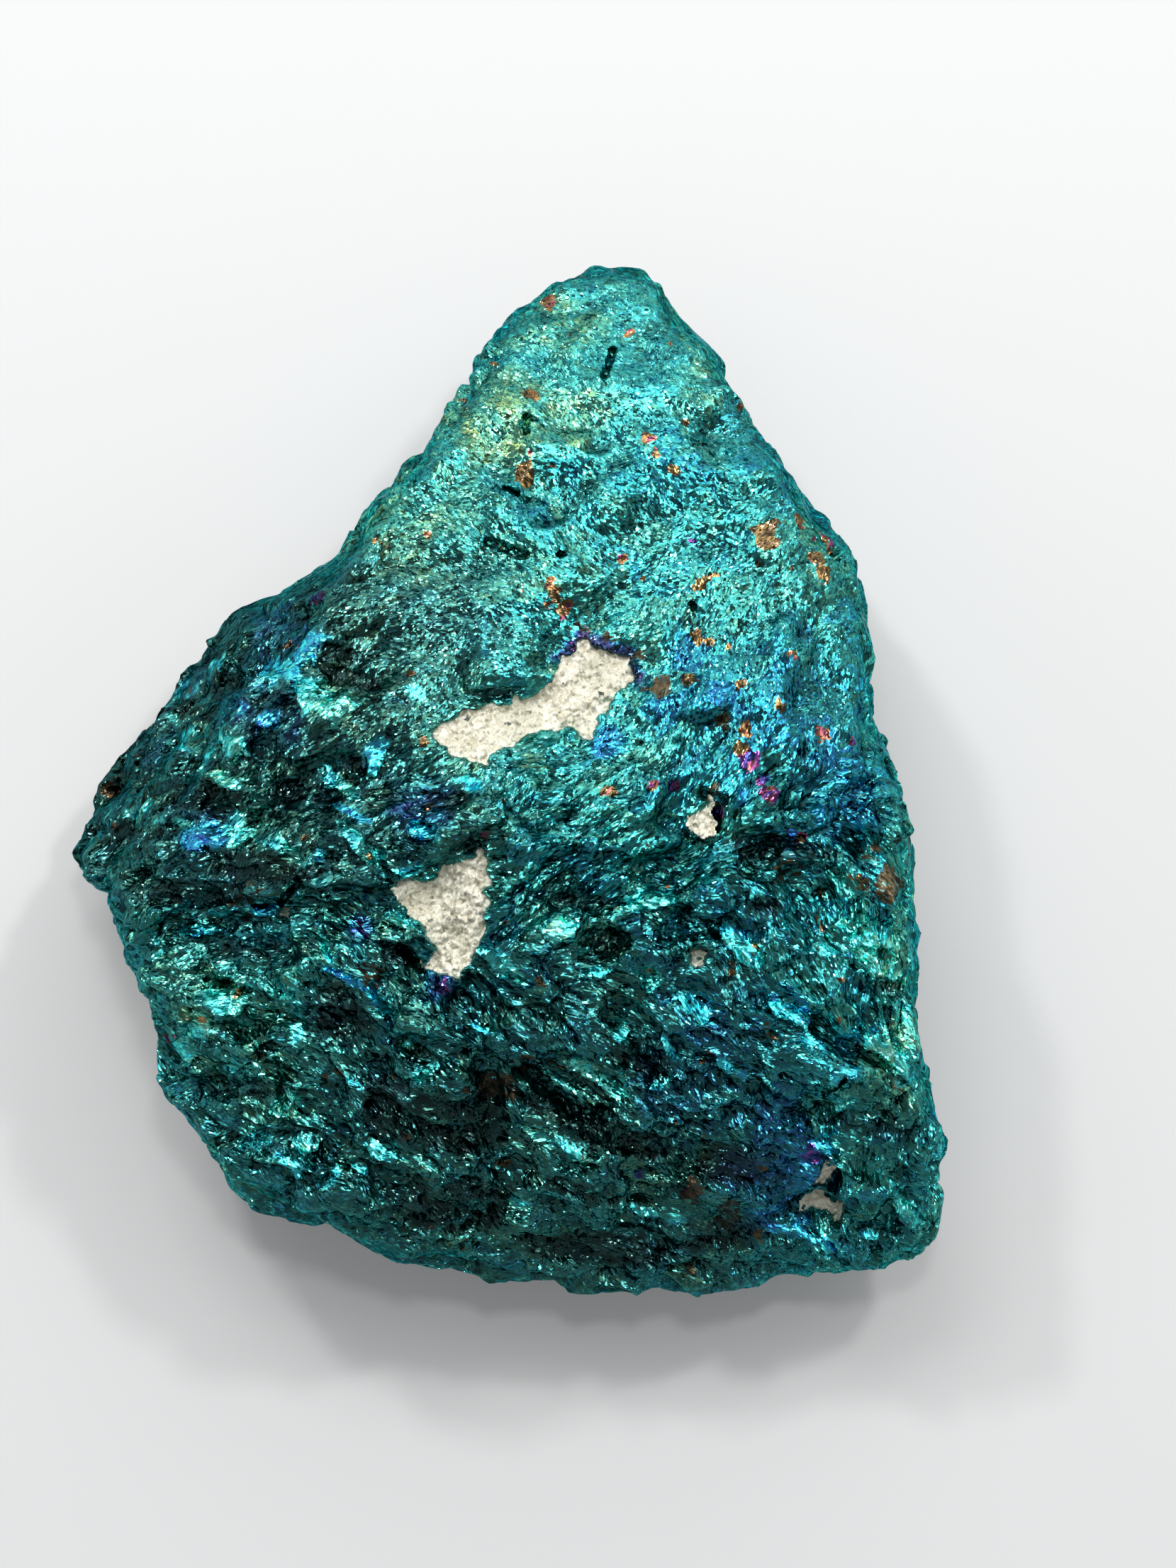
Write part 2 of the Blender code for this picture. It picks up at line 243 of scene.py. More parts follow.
# Tarnish colours in the order in which the film thickens, as linear light, and the film where
# each one shows.
TARNISH = (
    (0.0, (0.07, 0.045, 0.025)),
    (0.1, (0.14, 0.095, 0.04)),
    (0.18, (0.32, 0.2, 0.07)),
    (0.25, (0.3, 0.09, 0.05)),
    (0.31, (0.29, 0.06, 0.19)),
    (0.38, (0.14, 0.05, 0.3)),
    (0.46, (0.02, 0.08, 0.36)),
    (0.55, (0.015, 0.19, 0.37)),
    (0.66, (0.018, 0.26, 0.28)),
    (0.78, (0.045, 0.29, 0.235)),
    (0.9, (0.14, 0.33, 0.17)),
    (1.0, (0.3, 0.38, 0.1)),
)
FILM_BASE = 0.715

# Zones of tarnish: place, radius and the film there.
FILM_ZONES = (
    # bluer over the right half and the middle
    (13, -9.5, 7, 0.67), (3, -3.5, 3, 0.67),
    # greener along the upper left, with a yellow tinge
    (-0.3, 18.1, 3.2, 0.83), (3, 18.4, 1.8, 0.81), (-6, 12, 2.4, 0.8), (2.3, 23, 2, 0.78),
    # the blue side right of the middle
    (13.5, 2.6, 5.2, 0.63), (16.5, -0.6, 3, 0.61), (9.5, 5, 2.6, 0.62),
    # blue in the lower right, on the left wing and around the patches
    (13.8, -19.3, 3, 0.56), (9, -15.5, 3, 0.62), (-12.2, 3.4, 2, 0.6), (-15.2, -2.5, 1.1, 0.54),
    (-11.5, 7.2, 1.6, 0.58), (-4.2, -1.2, 1.6, 0.55), (5.2, 2, 0.9, 0.52), (-7.4, -7.4, 0.8, 0.5),
    (-3.4, -10.3, 0.9, 0.5),
    # greener along the right rim and the lower left
    (19.5, -9, 1.8, 0.75), (20.5, -14.5, 1.8, 0.77), (-14.5, -12.5, 3, 0.75),
)

# Painted light: parts made brighter as if they sent more light up to the camera: place, radius and how
# much of a lit face's share.
PAINTED_LIGHT_ZONES = (
    (5, 21, 5, 0.13), (18, -9.5, 4.5, 0.16), (10, -14.5, 4, 0.1), (-12, -12, 4, 0.12),
)

# Small spots of thin film, where gold, red, magenta and violet show.
FILM_SPOTS = (
    # the gold triangle above the long patch
    (2.2, 9.9, 0.45, 0.14), (1.8, 9.1, 0.3, 0.16), (2.9, 8.7, 0.4, 0.17), (2.3, 9.2, 0.3, 0.02),
    (3.1, 8.9, 0.2, 0.31), (2.7, 8.2, 0.2, 0.24),
    # along the upper right edge
    (13.1, 12.6, 0.6, 0.06), (14.9, 13.3, 0.4, 0.15), (15.9, 12.5, 0.35, 0.24), (16.3, 12.2, 0.2, 0.33),
    (15.6, 11.4, 0.4, 0.12), (16, 10.6, 0.35, 0.14), (11.9, 19, 0.3, 0.14),
    # the chain of gold and magenta right of the middle
    (12, 2.5, 0.4, 0.16), (11.7, 1.7, 0.4, 0.05), (12.3, 1, 0.55, 0.32), (12.9, 0.2, 0.3, 0.38),
    (13.2, -0.7, 0.4, 0.31), (13.3, -0.4, 0.2, 0.2), (15.8, 2.5, 0.3, 0.17), (17.4, 2.1, 0.2, 0.28),
    (13.5, -2.8, 0.25, 0.23), (14.9, -2.8, 0.35, 0.24), (14.4, -2.6, 0.3, 0.38), (7.4, -0.2, 0.3, 0.19),
    (8.3, -0.2, 0.25, 0.32), (10.6, -1.6, 0.3, 0.32),
    # flecks among the teal of the upper half
    (9.2, 12.2, 0.35, 0.37), (9, 11.9, 0.25, 0.15), (9.7, 10, 0.25, 0.12), (9.6, 7.3, 0.3, 0.12),
    (8.4, 15.7, 0.3, 0.12), (7.5, 16.6, 0.25, 0.12), (5.8, 11.3, 0.2, 0.2), (6.7, 10.3, 0.2, 0.14),
    (11.8, 4.9, 0.3, 0.12), (9.2, 5.2, 0.25, 0.1), (10.3, 7.1, 0.3, 0.12), (14.3, 6.4, 0.25, 0.18),
    (13.7, 3.9, 0.3, 0.12), (2.1, 24.3, 0.45, 0.16), (1.2, 19.6, 0.35, 0.13), (0.9, 15.6, 0.45, 0.07),
    (1.2, 16.6, 0.2, 0.15), (-4.1, 12.4, 0.2, 0.17), (-4.9, 5.5, 0.2, 0.17), (6.1, 22.6, 0.3, 0.16),
    (7.1, 17.4, 0.25, 0.16),
    # the left side and the lower half
    (-9.8, 9.3, 0.4, 0.31), (-20.1, -0.5, 0.4, 0.15), (-20.6, -1.6, 0.3, 0.2), (-19.6, 0.6, 0.25, 0.17),
    (5.2, -0.6, 0.3, 0.14), (-1.3, -2.8, 0.25, 0.26), (-7.6, -7.3, 0.35, 0.4), (-3.2, -10.2, 0.4, 0.41),
    (-1, -15.6, 0.5, 0.04), (-16.9, -12.9, 0.2, 0.3), (9.2, -20.7, 0.3, 0.26), (6.6, -19.9, 0.25, 0.38),
    (15.3, -18.8, 0.5, 0.42),
)
FLECK_FILM = 0.09
FLECK_STRENGTH = 0.52
FLECK_EDGE = (0.62, 0.95)
RIM_FILM = 0.43
SPOT_REACH = 3.0  # in radii: farther out, a fleck has its own film

# Brown-grey dull places: place, radius and strength.
DULL_ZONES = (
    (19.3, -5, 0.96, 0.9), (18.3, -3.8, 0.72, 0.6), (19.9, -3.2, 0.48, 0.7), (10.9, 3, 0.56, 0.7),
    (7.6, 4.6, 0.64, 0.8), (18.8, 6.5, 0.4, 0.6), (15.8, 0.8, 0.4, 0.5), (0.9, 15.6, 0.48, 0.6),
    (-0.6, -15.4, 0.88, 0.8), (1, -14.3, 0.56, 0.7), (9.2, -20.9, 0.72, 0.7), (11, -22, 0.8, 0.7),
    (14, -4.1, 0.96, 0.5), (-13.3, -5.9, 1.04, 0.6), (-6.8, -9.9, 0.96, 0.6), (13.1, 12.6, 0.56, 0.4),
    (3.6, 7.6, 0.56, 0.7), (5.3, 7.2, 0.48, 0.7), (6.6, 6.4, 0.48, 0.7), (10.4, -0.8, 0.56, 0.7),
)
SIDE_DULLNESS = 0.6
BROWN_EDGE = (0.35, 0.8)
ZONE_EDGE = (0.55, 1.35)  # where a zone is whole and where it ends, in radii

# Painted shade and painted light: how much darker the colour is made, and how much lighter on a lit face.
BROAD_DARKNESS = 0.45
LEFT_DARKNESS = 1.5  # as a share of BROAD_DARKNESS
RIM_DARKNESS = 0.45
HOLLOW_DARKNESS = 0.75
LIT_LIGHTENING = 0.5

# Where those parts begin or end.
DARK_LOW = (-13.0, -1.0)
DARK_LEFT = (-7.5, 3.5)
DARK_LEFT_ENDS = ((-10.0, -3.0), (9.0, 14.0))
LIGHTER_LEFT = (-13.0, -7.0)
LIGHTER_RIGHT = (9.0, 17.0)
DARK_RIM = (3.0, 9.0)
VIOLET_RIM = (6.3, 7.3)

# Crystal faces that the mesh is too coarse for: size, how far they lean on the fine side and on
# the coarse side, and how much their film and brightness vary.
FACES = (
    (1.5, (0.05, 0.3), 0.05, 0.12),
    (0.36, (0.26, 0.46), 0.035, 0.25),
    (0.16, (0.56, 0.75), 0.03, 0.32),
    (0.08, (0.48, 0.62), 0.02, 0.32),
)
PAINTED_SIDE_SPARKLE = 2.4  # painted sparkle: how much more the brightness varies from face to face where the sides are upright
CRYSTAL_SHIFT = 40.0  # keeps the small faces of one large crystal unlike its neighbours'
PAINTED_RIDGE_LIGHT_AND_HOLLOW_SHADE = (1.12, 0.5)  # painted light on a ridge and painted shade in a hollow
PAINTED_LIGHT_AND_SHADE = {"side": 0.85, "dark": 0.22, "lit": 3.1}  # painted shade on upright sides and in the dark parts, painted light on lit faces: brightness where each of these is 1
ACCENT_FILM_RANGE = (-0.05, 0.11)
ORE_ROUGHNESS = (0.12, 0.28)
ORE_COAT = (0.32, 0.1)  # where the ore is clean and where it is dull
ORE_EDGE_TINT = (0.1, 0.6, 0.65, 1.0)
PAINTED_SHADE_GREY = (0.13, 0.12, 0.105, 1.0)
BROWNS = ((0.022, 0.017, 0.01, 1.0), (0.1, 0.07, 0.035, 1.0))

# The gangue: size and lean of its grains and crumbs, and its colours.
GRAINS = (0.24, 0.55)
CRUMBS = (0.1, 0.7)
GRAIN_COLOURS = ((0.64, 0.6, 0.45, 1.0), (0.84, 0.81, 0.69, 1.0))
STAIN_COLOUR = (0.38, 0.38, 0.26, 1.0)
STAIN_SIZE = 1.8
PAINTED_GAP_SHADE = (0.13, 0.12, 0.08, 1.0)
SPECK_COLOUR = (0.05, 0.07, 0.06, 1.0)

# Where the top, the underside and the unrolled sides lie in the map for baking: left, bottom,
# width and height. Faces that rise more steeply than SIDE_RISE count as sides.
TOP_MAP = np.array((0.01, 0.01, 0.78, 0.93))
UNDER_MAP = np.array((0.81, 0.01, 0.18, 0.21))
SIDE_MAP = np.array((0.81, 0.25, 0.18, 0.72))
SIDE_RISE = 0.12

# The lights: place in metres, width, length and power.
LIGHTS = {
    "softbox": ((0.03, 0.3, 0.3), 0.6, 0.45, 1.2),
    "core": ((-0.05, 0.22, 0.34), 0.12, 0.09, 0.3),
    "glint_left": ((-0.14, 0.24, 0.3), 0.035, 0.035, 0.4),
    "glint_right": ((0.16, 0.2, 0.33), 0.035, 0.035, 0.4),
    "glint_high": ((0.02, 0.1, 0.42), 0.035, 0.035, 0.25),
    "left": ((-0.38, 0.05, 0.24), 0.3, 0.4, 0.16),
    "right": ((0.4, 0.1, 0.26), 0.3, 0.4, 0.16),
}
LIGHT_TARGET = (0.0, 0.0, 0.01)
WORLD_COLOUR = (0.94, 0.97, 1.0, 1.0)
WORLD_STRENGTH = (0.35, 0.26)  # round the horizon and from half way up
FLOOR_HALF_WIDTH = 2.0
FLOOR_COLOUR = (0.62, 0.62, 0.62, 1.0)


def cell_random(cells, salt, count):
    """Even random numbers from 0 to 1 for each whole-numbered cell, the same on every run."""
    c = cells.astype(np.int64).astype(np.uint32)
    n = c[:, 0] * np.uint32(73856093) ^ c[:, 1] * np.uint32(19349663)
    n = n ^ c[:, 2] * np.uint32(83492791) ^ np.uint32(salt * 2654435)
    columns = []
    for _ in range(count):
        n = (n ^ (n >> np.uint32(16))) * np.uint32(0x7FEB352D)
        n = (n ^ (n >> np.uint32(15))) * np.uint32(0x846CA68B)
        n = n ^ (n >> np.uint32(16))
        columns.append(n.astype(np.float64) / 4294967296.0)
    return np.stack(columns, axis=1)


def smooth_noise(points, size, salt):
    """Gradient noise, about -1 to 1, with lumps of the given size."""
    scaled = points / size
    cell = np.floor(scaled)
    inside = scaled - cell
    ease = inside**3 * (inside * (inside * 6.0 - 15.0) + 10.0)
    total = np.zeros(len(points))
    for corner in itertools.product((0.0, 1.0), repeat=3):
        corner = np.array(corner)
        gradient = cell_random(cell + corner, salt, 3) * 2.0 - 1.0
        share = np.prod(np.where(corner > 0.5, ease, 1.0 - ease), axis=1)
        total += share * np.einsum("ij,ij->i", gradient, inside - corner)
    return 1.6 * total


def pattern(points, kind):
    """One of the smooth patterns, with finer layers that are ever weaker."""
    strength, size, salt, layers = PATTERNS[kind]
    return strength * sum(smooth_noise(points, size / 2**i, salt + i) / 2**i for i in range(layers))


def eased(value, low, high):
    """0 below low and 1 above high, with a smooth rise between."""
    share = np.clip((value - low) / (high - low), 0.0, 1.0)
    return share * share * (3.0 - 2.0 * share)


def faded(value, low, high):
    return 1.0 - eased(value, low, high)


def as_seen(points):
    """Where the camera sees each point, brought to the outline's height, as flat x and y."""
    middle = np.array((CAMERA_X, CAMERA_Y))
    nearer = CAMERA_DISTANCE / (CAMERA_DISTANCE + OUTLINE_HEIGHT - points[:, 2])
    return middle + (points[:, :2] - middle) * nearer[:, None]


def distance_to_line(flat, start, end):
    start, end = np.array(start), np.array(end)
    along = end - start
    share = np.clip((flat - start) @ along / (along @ along), 0.0, 1.0)
    return np.linalg.norm(flat - start - share[:, None] * along, axis=1)


def depth_inside(flat, outline):
    """How far each flat place lies inside a closed outline; negative outside."""
    nearest = np.full(len(flat), 99.0)
    inside = np.zeros(len(flat), bool)
    for (x0, y0), (x1, y1) in zip(outline, outline[1:] + outline[:1]):
        nearest = np.minimum(nearest, distance_to_line(flat, (x0, y0), (x1, y1)))
        crosses = (y0 > flat[:, 1]) != (y1 > flat[:, 1])
        rise = y1 - y0 if y1 != y0 else 1.0
        inside ^= crosses & (flat[:, 0] < (x1 - x0) * (flat[:, 1] - y0) / rise + x0)
    return np.where(inside, nearest, -nearest)


def at_ground(flat):
    """Flat places as points at height 0."""
    return np.column_stack((flat, np.zeros(len(flat))))


def ragged_depth(flat, outline):
    """The same with an edge that wanders, as where one mineral grew round another."""
    return depth_inside(flat, outline) + pattern(at_ground(flat), "patch")


def inside_share(flat, outline, low, high):
    """0 where the ragged depth is low and 1 where it is high."""
    share = np.zeros(len(flat))
    near = np.nonzero(depth_inside(flat, outline) > -RAGGED_REACH)[0]
    share[near] = eased(ragged_depth(flat[near], outline), low, high)
    return share


def turned(x, y, angle):
    """How far places lie along a direction and across it, to its left."""
    cos, sin = np.cos(angle), np.sin(angle)
    return cos * x + sin * y, cos * y - sin * x


def streak_shares(flat, falloff):
    """How much each of the streaks counts at each flat place."""
    return [1.0 / (1.0 + (flat[:, 0] - x) ** 2 + (flat[:, 1] - y) ** 2) ** falloff for x, y, _ in STREAKS]


def streak_turn(flat):
    """The angle, in radians, that the crystals are drawn out along at each flat place."""
    shares = streak_shares(flat, 2)
    turns = [share * math.radians(degrees) for share, (_, _, degrees) in zip(shares, STREAKS)]
    return sum(turns) / sum(shares)


def facets(points, turn, stretch, size, lean, step, salt):
    """Height, in millimetres, of a mosaic of flat breaks, each at its own level and lean."""
    scaled = points / size
    cell = np.floor(scaled)
    total = np.zeros(len(points))
    weight = np.full(len(points), 1e-12)
    for neighbour in itertools.product((-1.0, 0.0, 1.0), repeat=3):
        home = cell + np.array(neighbour)
        random = cell_random(home, salt, 8)
        away = scaled - home - random[:, :3]
        angle = turn + STREAK_SPREAD * (random[:, 7] * 2.0 - 1.0)
        along, across = turned(away[:, 0], away[:, 1], angle)
        along = along / stretch
        share = np.exp(-FACET_EDGE * (along**2 + across**2 + away[:, 2] ** 2))
        slope = random[:, 3:6] * 2.0 - 1.0
        height = lean * (slope[:, 0] * along + slope[:, 1] * across + slope[:, 2] * away[:, 2])
        total += share * (height + step * (random[:, 6] * 2.0 - 1.0))
        weight += share
    return size * total / weight


def ridges(points, flat):
    """Sharp crests drawn out along the streaks, from 0 in the furrows to 1 on the crests."""
    shares = streak_shares(flat, 3)
    weight = sum(shares, np.full(len(points), 1e-12))
    total = np.zeros(len(points))
    for share, (_, _, degrees) in zip(shares, STREAKS):
        near = np.nonzero(share > 0.08 * weight)[0]
        along, across = turned(points[near, 0], points[near, 1], math.radians(degrees))
        drawn = np.column_stack((along / RIDGE_STRETCH, across, points[near, 2]))
        crest = 1.0 - np.abs(pattern(drawn, "ridges"))
        total[near] += share[near] * crest**2
    return total / weight


def coarseness(flat, up):
    """How rough the break is: least near the tip, more on the left, low down and on the sides."""
    low = faded(flat[:, 1], *COARSE_LOW)
    left = faded(flat[:, 0], *COARSE_LEFT) * faded(flat[:, 1], *COARSE_LEFT_END)
    return np.maximum(np.maximum(low, left), SIDE_COARSENESS * (1.0 - up))


def face_share(along, across, half_length, half_width, wander, soft):
    """1 on a face and 0 beside it, with a ragged edge."""
    far = np.cbrt(np.abs(along / half_length) ** 3 + np.abs(across / half_width) ** 3)
    return faded(far + wander, 1.0 - soft, 1.0 + soft)


def lit_faces(points, flat, normals=None):
    """How far each point belongs to a lit face, that face's film, and its height there.

    Each face is turned against the slope of the surface under it until it faces the light.
    """
    share = np.zeros(len(flat))
    film = np.zeros(len(flat))
    height = np.zeros(len(flat))
    wander = pattern(points, "lit")
    for x, y, half_length, half_width, degrees, thickness in LIT_FACES:
        near = np.nonzero(np.hypot(flat[:, 0] - x, flat[:, 1] - y) < 1.6 * half_length + 0.5)[0]
        angle = math.radians(degrees)
        along, across = turned(flat[near, 0] - x, flat[near, 1] - y, angle)
        here = face_share(along, across, half_length, half_width, wander[near], LIT_SOFTNESS)
        wins = here > share[near]
        share[near] = np.where(wins, here, share[near])
        film[near] = np.where(wins, thickness, film[near])
        if normals is None or not here.any():
            continue
        facing = np.average(normals[near], axis=0, weights=here)
        slope = -turned(facing[0], facing[1], angle)[1] / max(facing[2], 0.3)
        lean = np.clip(LIT_GRADIENT + slope, *LIT_LEAN)
        rise = -lean * np.clip(across, -half_width, half_width)
        height[near] = np.where(wins, here * rise, height[near])
    return share, film, height


def dark_hollows(points, flat):
    """How far each point lies in one of the dark hollows."""
    share = np.zeros(len(flat))
    wander = pattern(points, "hollow")
    for x, y, half_length, half_width, degrees, strength in DARK_HOLLOWS:
        along, across = turned(flat[:, 0] - x, flat[:, 1] - y, math.radians(degrees))
        here = face_share(along, across, half_length, half_width, wander, HOLLOW_SOFTNESS)
        share = np.maximum(share, strength * here)
    return share


def crust(points, normals, up):
    """Relief of the broken surface, in millimetres along the outward direction."""
    flat = as_seen(points)
    turn = streak_turn(flat)
    coarse = coarseness(flat, up)
    lit, _, lit_height = lit_faces(points, flat, normals)
    relief = np.zeros(len(points))
    for fine, more, stretch, size, lean, step, salt, calm in BREAKS:
        height = (fine + more * coarse) * (1.0 - calm * lit * up)
        relief += height * facets(points, turn, stretch, size, lean, step, salt)
    height = (RIDGE_HEIGHT[0] + RIDGE_HEIGHT[1] * coarse * up) * (1.0 - RIDGE_CALM * lit * up)
    relief += height * (ridges(points, flat) - 0.5)
    relief += pattern(points, "lumps")
    return relief + up * (lit_height - HOLLOW_DEPTH * dark_hollows(points, flat))


def patch_share(flat):
    """1 where the ore gives way to a white patch and 0 elsewhere, with a steep ragged edge."""
    shares = [inside_share(flat, outline, *PATCH_EDGE) for outline in PATCHES.values()]
    return np.max(shares, axis=0)


def pit_depth(flat):
    depth = np.zeros(len(flat))
    wander = pattern(at_ground(flat), "pit")
    for start, end, half_width, bottom in PITS:
        away = distance_to_line(flat, start, end) / half_width + wander
        depth = np.maximum(depth, bottom * faded(away, *PIT_EDGE))
    return depth


def gathered(items, name, columns, kind=np.float32):
    """One property of each of a mesh's items, a row for each item."""
    values = np.empty(len(items) * columns, kind)
    items.foreach_get(name, values)
    return values.reshape(-1, columns)


def mesh_points(mesh):
    return gathered(mesh.vertices, "co", 3).astype(np.float64)


def mesh_normals(mesh):
    return gathered(mesh.vertices, "normal", 3).astype(np.float64)


def set_points(mesh, points):
    mesh.vertices.foreach_set("co", points.astype(np.float32).ravel())
    mesh.update()


def apply_modifiers(obj):
    graph = bpy.context.evaluated_depsgraph_get()
    mesh = bpy.data.meshes.new_from_object(obj.evaluated_get(graph))
    obj.modifiers.clear()
    obj.data = mesh


def new_object(name, data):
    obj = bpy.data.objects.new(name, data)
    bpy.context.scene.collection.objects.link(obj)
    return obj


def softened_core():
    """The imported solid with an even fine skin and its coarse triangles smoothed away."""
    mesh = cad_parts[NODE].data.copy()
    mesh.materials.clear()
    bm = bmesh.new()
    bm.from_mesh(mesh)
    bmesh.ops.remove_doubles(bm, verts=bm.verts, dist=1e-6)
    bm.to_mesh(mesh)
    bm.free()
    obj = new_object("chalcopyrite_stone", mesh)
    set_points(mesh, mesh_points(mesh) / MM)
    skin = obj.modifiers.new("Even skin", "REMESH")
    skin.mode = "VOXEL"
    skin.voxel_size = VOXEL
    soften = obj.modifiers.new("Soften", "SMOOTH")
    soften.factor = 0.5
    soften.iterations = SOFTEN_STEPS
    apply_modifiers(obj)
    return obj


def thin_out(obj, plainness, triangles):
    """Takes triangles away, sooner where the surface is plain, until so many are left."""
    group = obj.vertex_groups.new(name="plain")
    steps = np.round(plainness * 10).astype(int)
    for step in range(1, 11):
        members = np.nonzero(steps == step)[0].tolist()
        group.add(members, step / 10.0, "REPLACE")
    obj.data.calc_loop_triangles()
    thin = obj.modifiers.new("Thin out", "DECIMATE")
    thin.ratio = triangles / len(obj.data.loop_triangles)
    thin.vertex_group = group.name
    thin.vertex_group_factor = THIN_FACTOR
    apply_modifiers(obj)
    obj.vertex_groups.clear()


def roughened(points, normals):
    """Points of the finished skin: the core moved along its own normals."""
    flat = as_seen(points)
    upper = eased(normals[:, 2], *PATCH_FADE)
    patch = upper * patch_share(flat)
    up = eased(normals[:, 2], *RELIEF_FADE)
    steep = np.clip(SIDE_RELIEF + 0.4 * normals[:, 2], SIDE_RELIEF, 1.0)
    relief = crust(points, normals, up) * steep * (1.0 - patch)
    moved = points + relief[:, None] * normals
    moved[:, 2] -= np.maximum(PATCH_FLOOR * patch, upper * pit_depth(flat))
    return moved


def purple_rim(flat):
    """How far each place belongs to the violet rim over the long patch: violet tarnish, made darker with
    painted shade along the edge of the patch's hollow.
    """
    rim = inside_share(flat, PATCHES["gangue_long_patch"], *RIM_EDGE)
    return rim * eased(flat[:, 1] + 0.3 * flat[:, 0], *VIOLET_RIM)


def neighbour_average(mesh, values, steps):
    """Values smoothed over a mesh by so many rounds of averaging with their neighbours."""
    edges = gathered(mesh.edges, "vertices", 2, np.int32)
    both = np.concatenate((edges, edges[:, ::-1]))
    count = np.bincount(both[:, 0], minlength=len(values)).astype(float)
    for _ in range(steps):
        for column in range(values.shape[1]):
            around = np.bincount(both[:, 0], values[both[:, 1], column], minlength=len(values))
            values[:, column] = 0.5 * values[:, column] + 0.5 * around / count
    return values


def hollowness(mesh, points):
    """How far each point lies below the surface around it, from -1 on a ridge to 1 in a hollow."""
    around = neighbour_average(mesh, points.copy(), 14)
    below = np.einsum("ij,ij->i", around - points, mesh_normals(mesh))
    return np.clip(below / 0.16, -1.0, 1.0)


def facing_up(mesh):
    """The upward share of the direction that the skin as a whole faces, from -1 to 1."""
    around = neighbour_average(mesh, mesh_normals(mesh), 16)
    return around[:, 2] / np.linalg.norm(around, axis=1)


def zone_strength(flat, wander, x, y, radius):
    """1 well inside a round zone and 0 outside it."""
    away = np.hypot(flat[:, 0] - x, flat[:, 1] - y) / radius
    return faded(away + wander, *ZONE_EDGE)


def painted_light_share(points, flat, bright):
    """Share of painted light that each point has, on the lit faces and in the bright zones."""
    wander = pattern(points, "bright")
    for *zone, share in PAINTED_LIGHT_ZONES:
        bright = np.maximum(bright, share * zone_strength(flat, wander, *zone))
    return bright


def broken_up(points, facing):
    """1 on level parts and 0 in places where it is steep, so that no face runs down the side."""
    level = eased(facing, *LEVEL_FADE)
    patchy = eased(pattern(points, "gaps"), *GAP_EDGE)
    return level + (1.0 - level) * patchy


def film_thickness(points, flat, up, lit, lit_film):
    """The tarnish film at each point, as a place along TARNISH."""
    film = FILM_BASE + (0.09 - 0.04 * up) * pattern(points, "film change")
    wander = pattern(points, "film")
    for *zone, thickness in FILM_ZONES:
        film += up * zone_strength(flat, wander, *zone) * (thickness - film)
    film += 0.8 * up * lit * (lit_film - film)
    return film + up * purple_rim(flat) * (RIM_FILM - film)


def accents(points, flat, up):
    """Strength and film of the small thin places where gold, red and violet show."""
    wander = pattern(points, "spot")
    strength = FLECK_STRENGTH * eased(pattern(points, "flecks"), *FLECK_EDGE)
    film = np.full(len(points), FLECK_FILM)
    nearest = np.full(len(points), SPOT_REACH)
    for x, y, radius, thickness in FILM_SPOTS:
        away = np.hypot(flat[:, 0] - x, flat[:, 1] - y) / radius
        film = np.where(away < nearest, thickness, film)
        nearest = np.minimum(nearest, away)
        strength = np.maximum(strength, up * zone_strength(flat, wander, x, y, radius))
    return strength, film


def dullness(points, flat, up):
    """How brown and dull each point is: in its zones, and here and there on the sides."""
    dull = SIDE_DULLNESS * (1.0 - up) * eased(pattern(points, "brown sides"), *BROWN_EDGE)
    wander = pattern(points, "dull")
    for *zone, strength in DULL_ZONES:
        dull = np.maximum(dull, up * strength * zone_strength(flat, wander, *zone))
    return dull


def painted_shade(points, flat, up, lit):
    """Painted shade on the ore, from 0 to 1: more where the break is coarse, in hollows and low down,
    over the violet rim, and less on a lit face.
    """
    wander = pattern(points, "dark")
    bottom, top = DARK_LEFT_ENDS
    left = faded(flat[:, 0] + wander, *DARK_LEFT)
    left *= LEFT_DARKNESS * (eased(flat[:, 1], *bottom) - eased(flat[:, 1], *top))
    far_left = faded(flat[:, 0], *LIGHTER_LEFT)
    right = eased(flat[:, 0], *LIGHTER_RIGHT)
    low = faded(flat[:, 1] + wander, *DARK_LOW)
    broad = np.maximum(low * (1.0 - 0.8 * right) * (1.0 - 0.3 * far_left), left)
    rim = faded(points[:, 2], *DARK_RIM) * (1.0 - right)
    # Painted shade in the hollows and over the violet rim, taken off again on the lit faces.
    placed = HOLLOW_DARKNESS * dark_hollows(points, flat) - LIT_LIGHTENING * lit + purple_rim(flat)
    return np.clip(BROAD_DARKNESS * broad + RIM_DARKNESS * rim + up * placed, 0.0, 1.0)


def add_attribute(mesh, name, values):
    attribute = mesh.attributes.new(name, "FLOAT", "POINT")
    attribute.data.foreach_set("value", values.astype(np.float32))


def lay_out_bake(mesh):
    """A map for baking: the top seen from above, the bottom from below and the sides unrolled."""
    centre = gathered(mesh.polygons, "center", 3)
    rise = gathered(mesh.polygons, "normal", 3)[:, 2]
    corner_vert = gathered(mesh.loops, "vertex_index", 1, np.int32)[:, 0]
    size = gathered(mesh.polygons, "loop_total", 1, np.int32)[:, 0]
    face = np.repeat(np.arange(len(size)), size)
    points = mesh_points(mesh)[corner_vert]
    low, high = points.min(axis=0), points.max(axis=0)
    share = (points - low) / (high - low)
    top = share[:, :2] * TOP_MAP[2:] + TOP_MAP[:2]
    under = share[:, :2] * UNDER_MAP[2:] + UNDER_MAP[:2]
    face_angle = np.arctan2(centre[:, 1], centre[:, 0])[face]
    angle = np.arctan2(points[:, 1], points[:, 0])
    angle = face_angle + (angle - face_angle + math.pi) % math.tau - math.pi
    unrolled = np.column_stack((share[:, 2], angle / math.tau + 0.5))
    side = unrolled * SIDE_MAP[2:] + SIDE_MAP[:2]
    up = rise[face][:, None]
    places = np.where(up > SIDE_RISE, top, np.where(up < -SIDE_RISE, under, side))
    bake = mesh.uv_layers.new(name="OFBake")
    bake.data.foreach_set("uv", places.astype(np.float32).ravel())


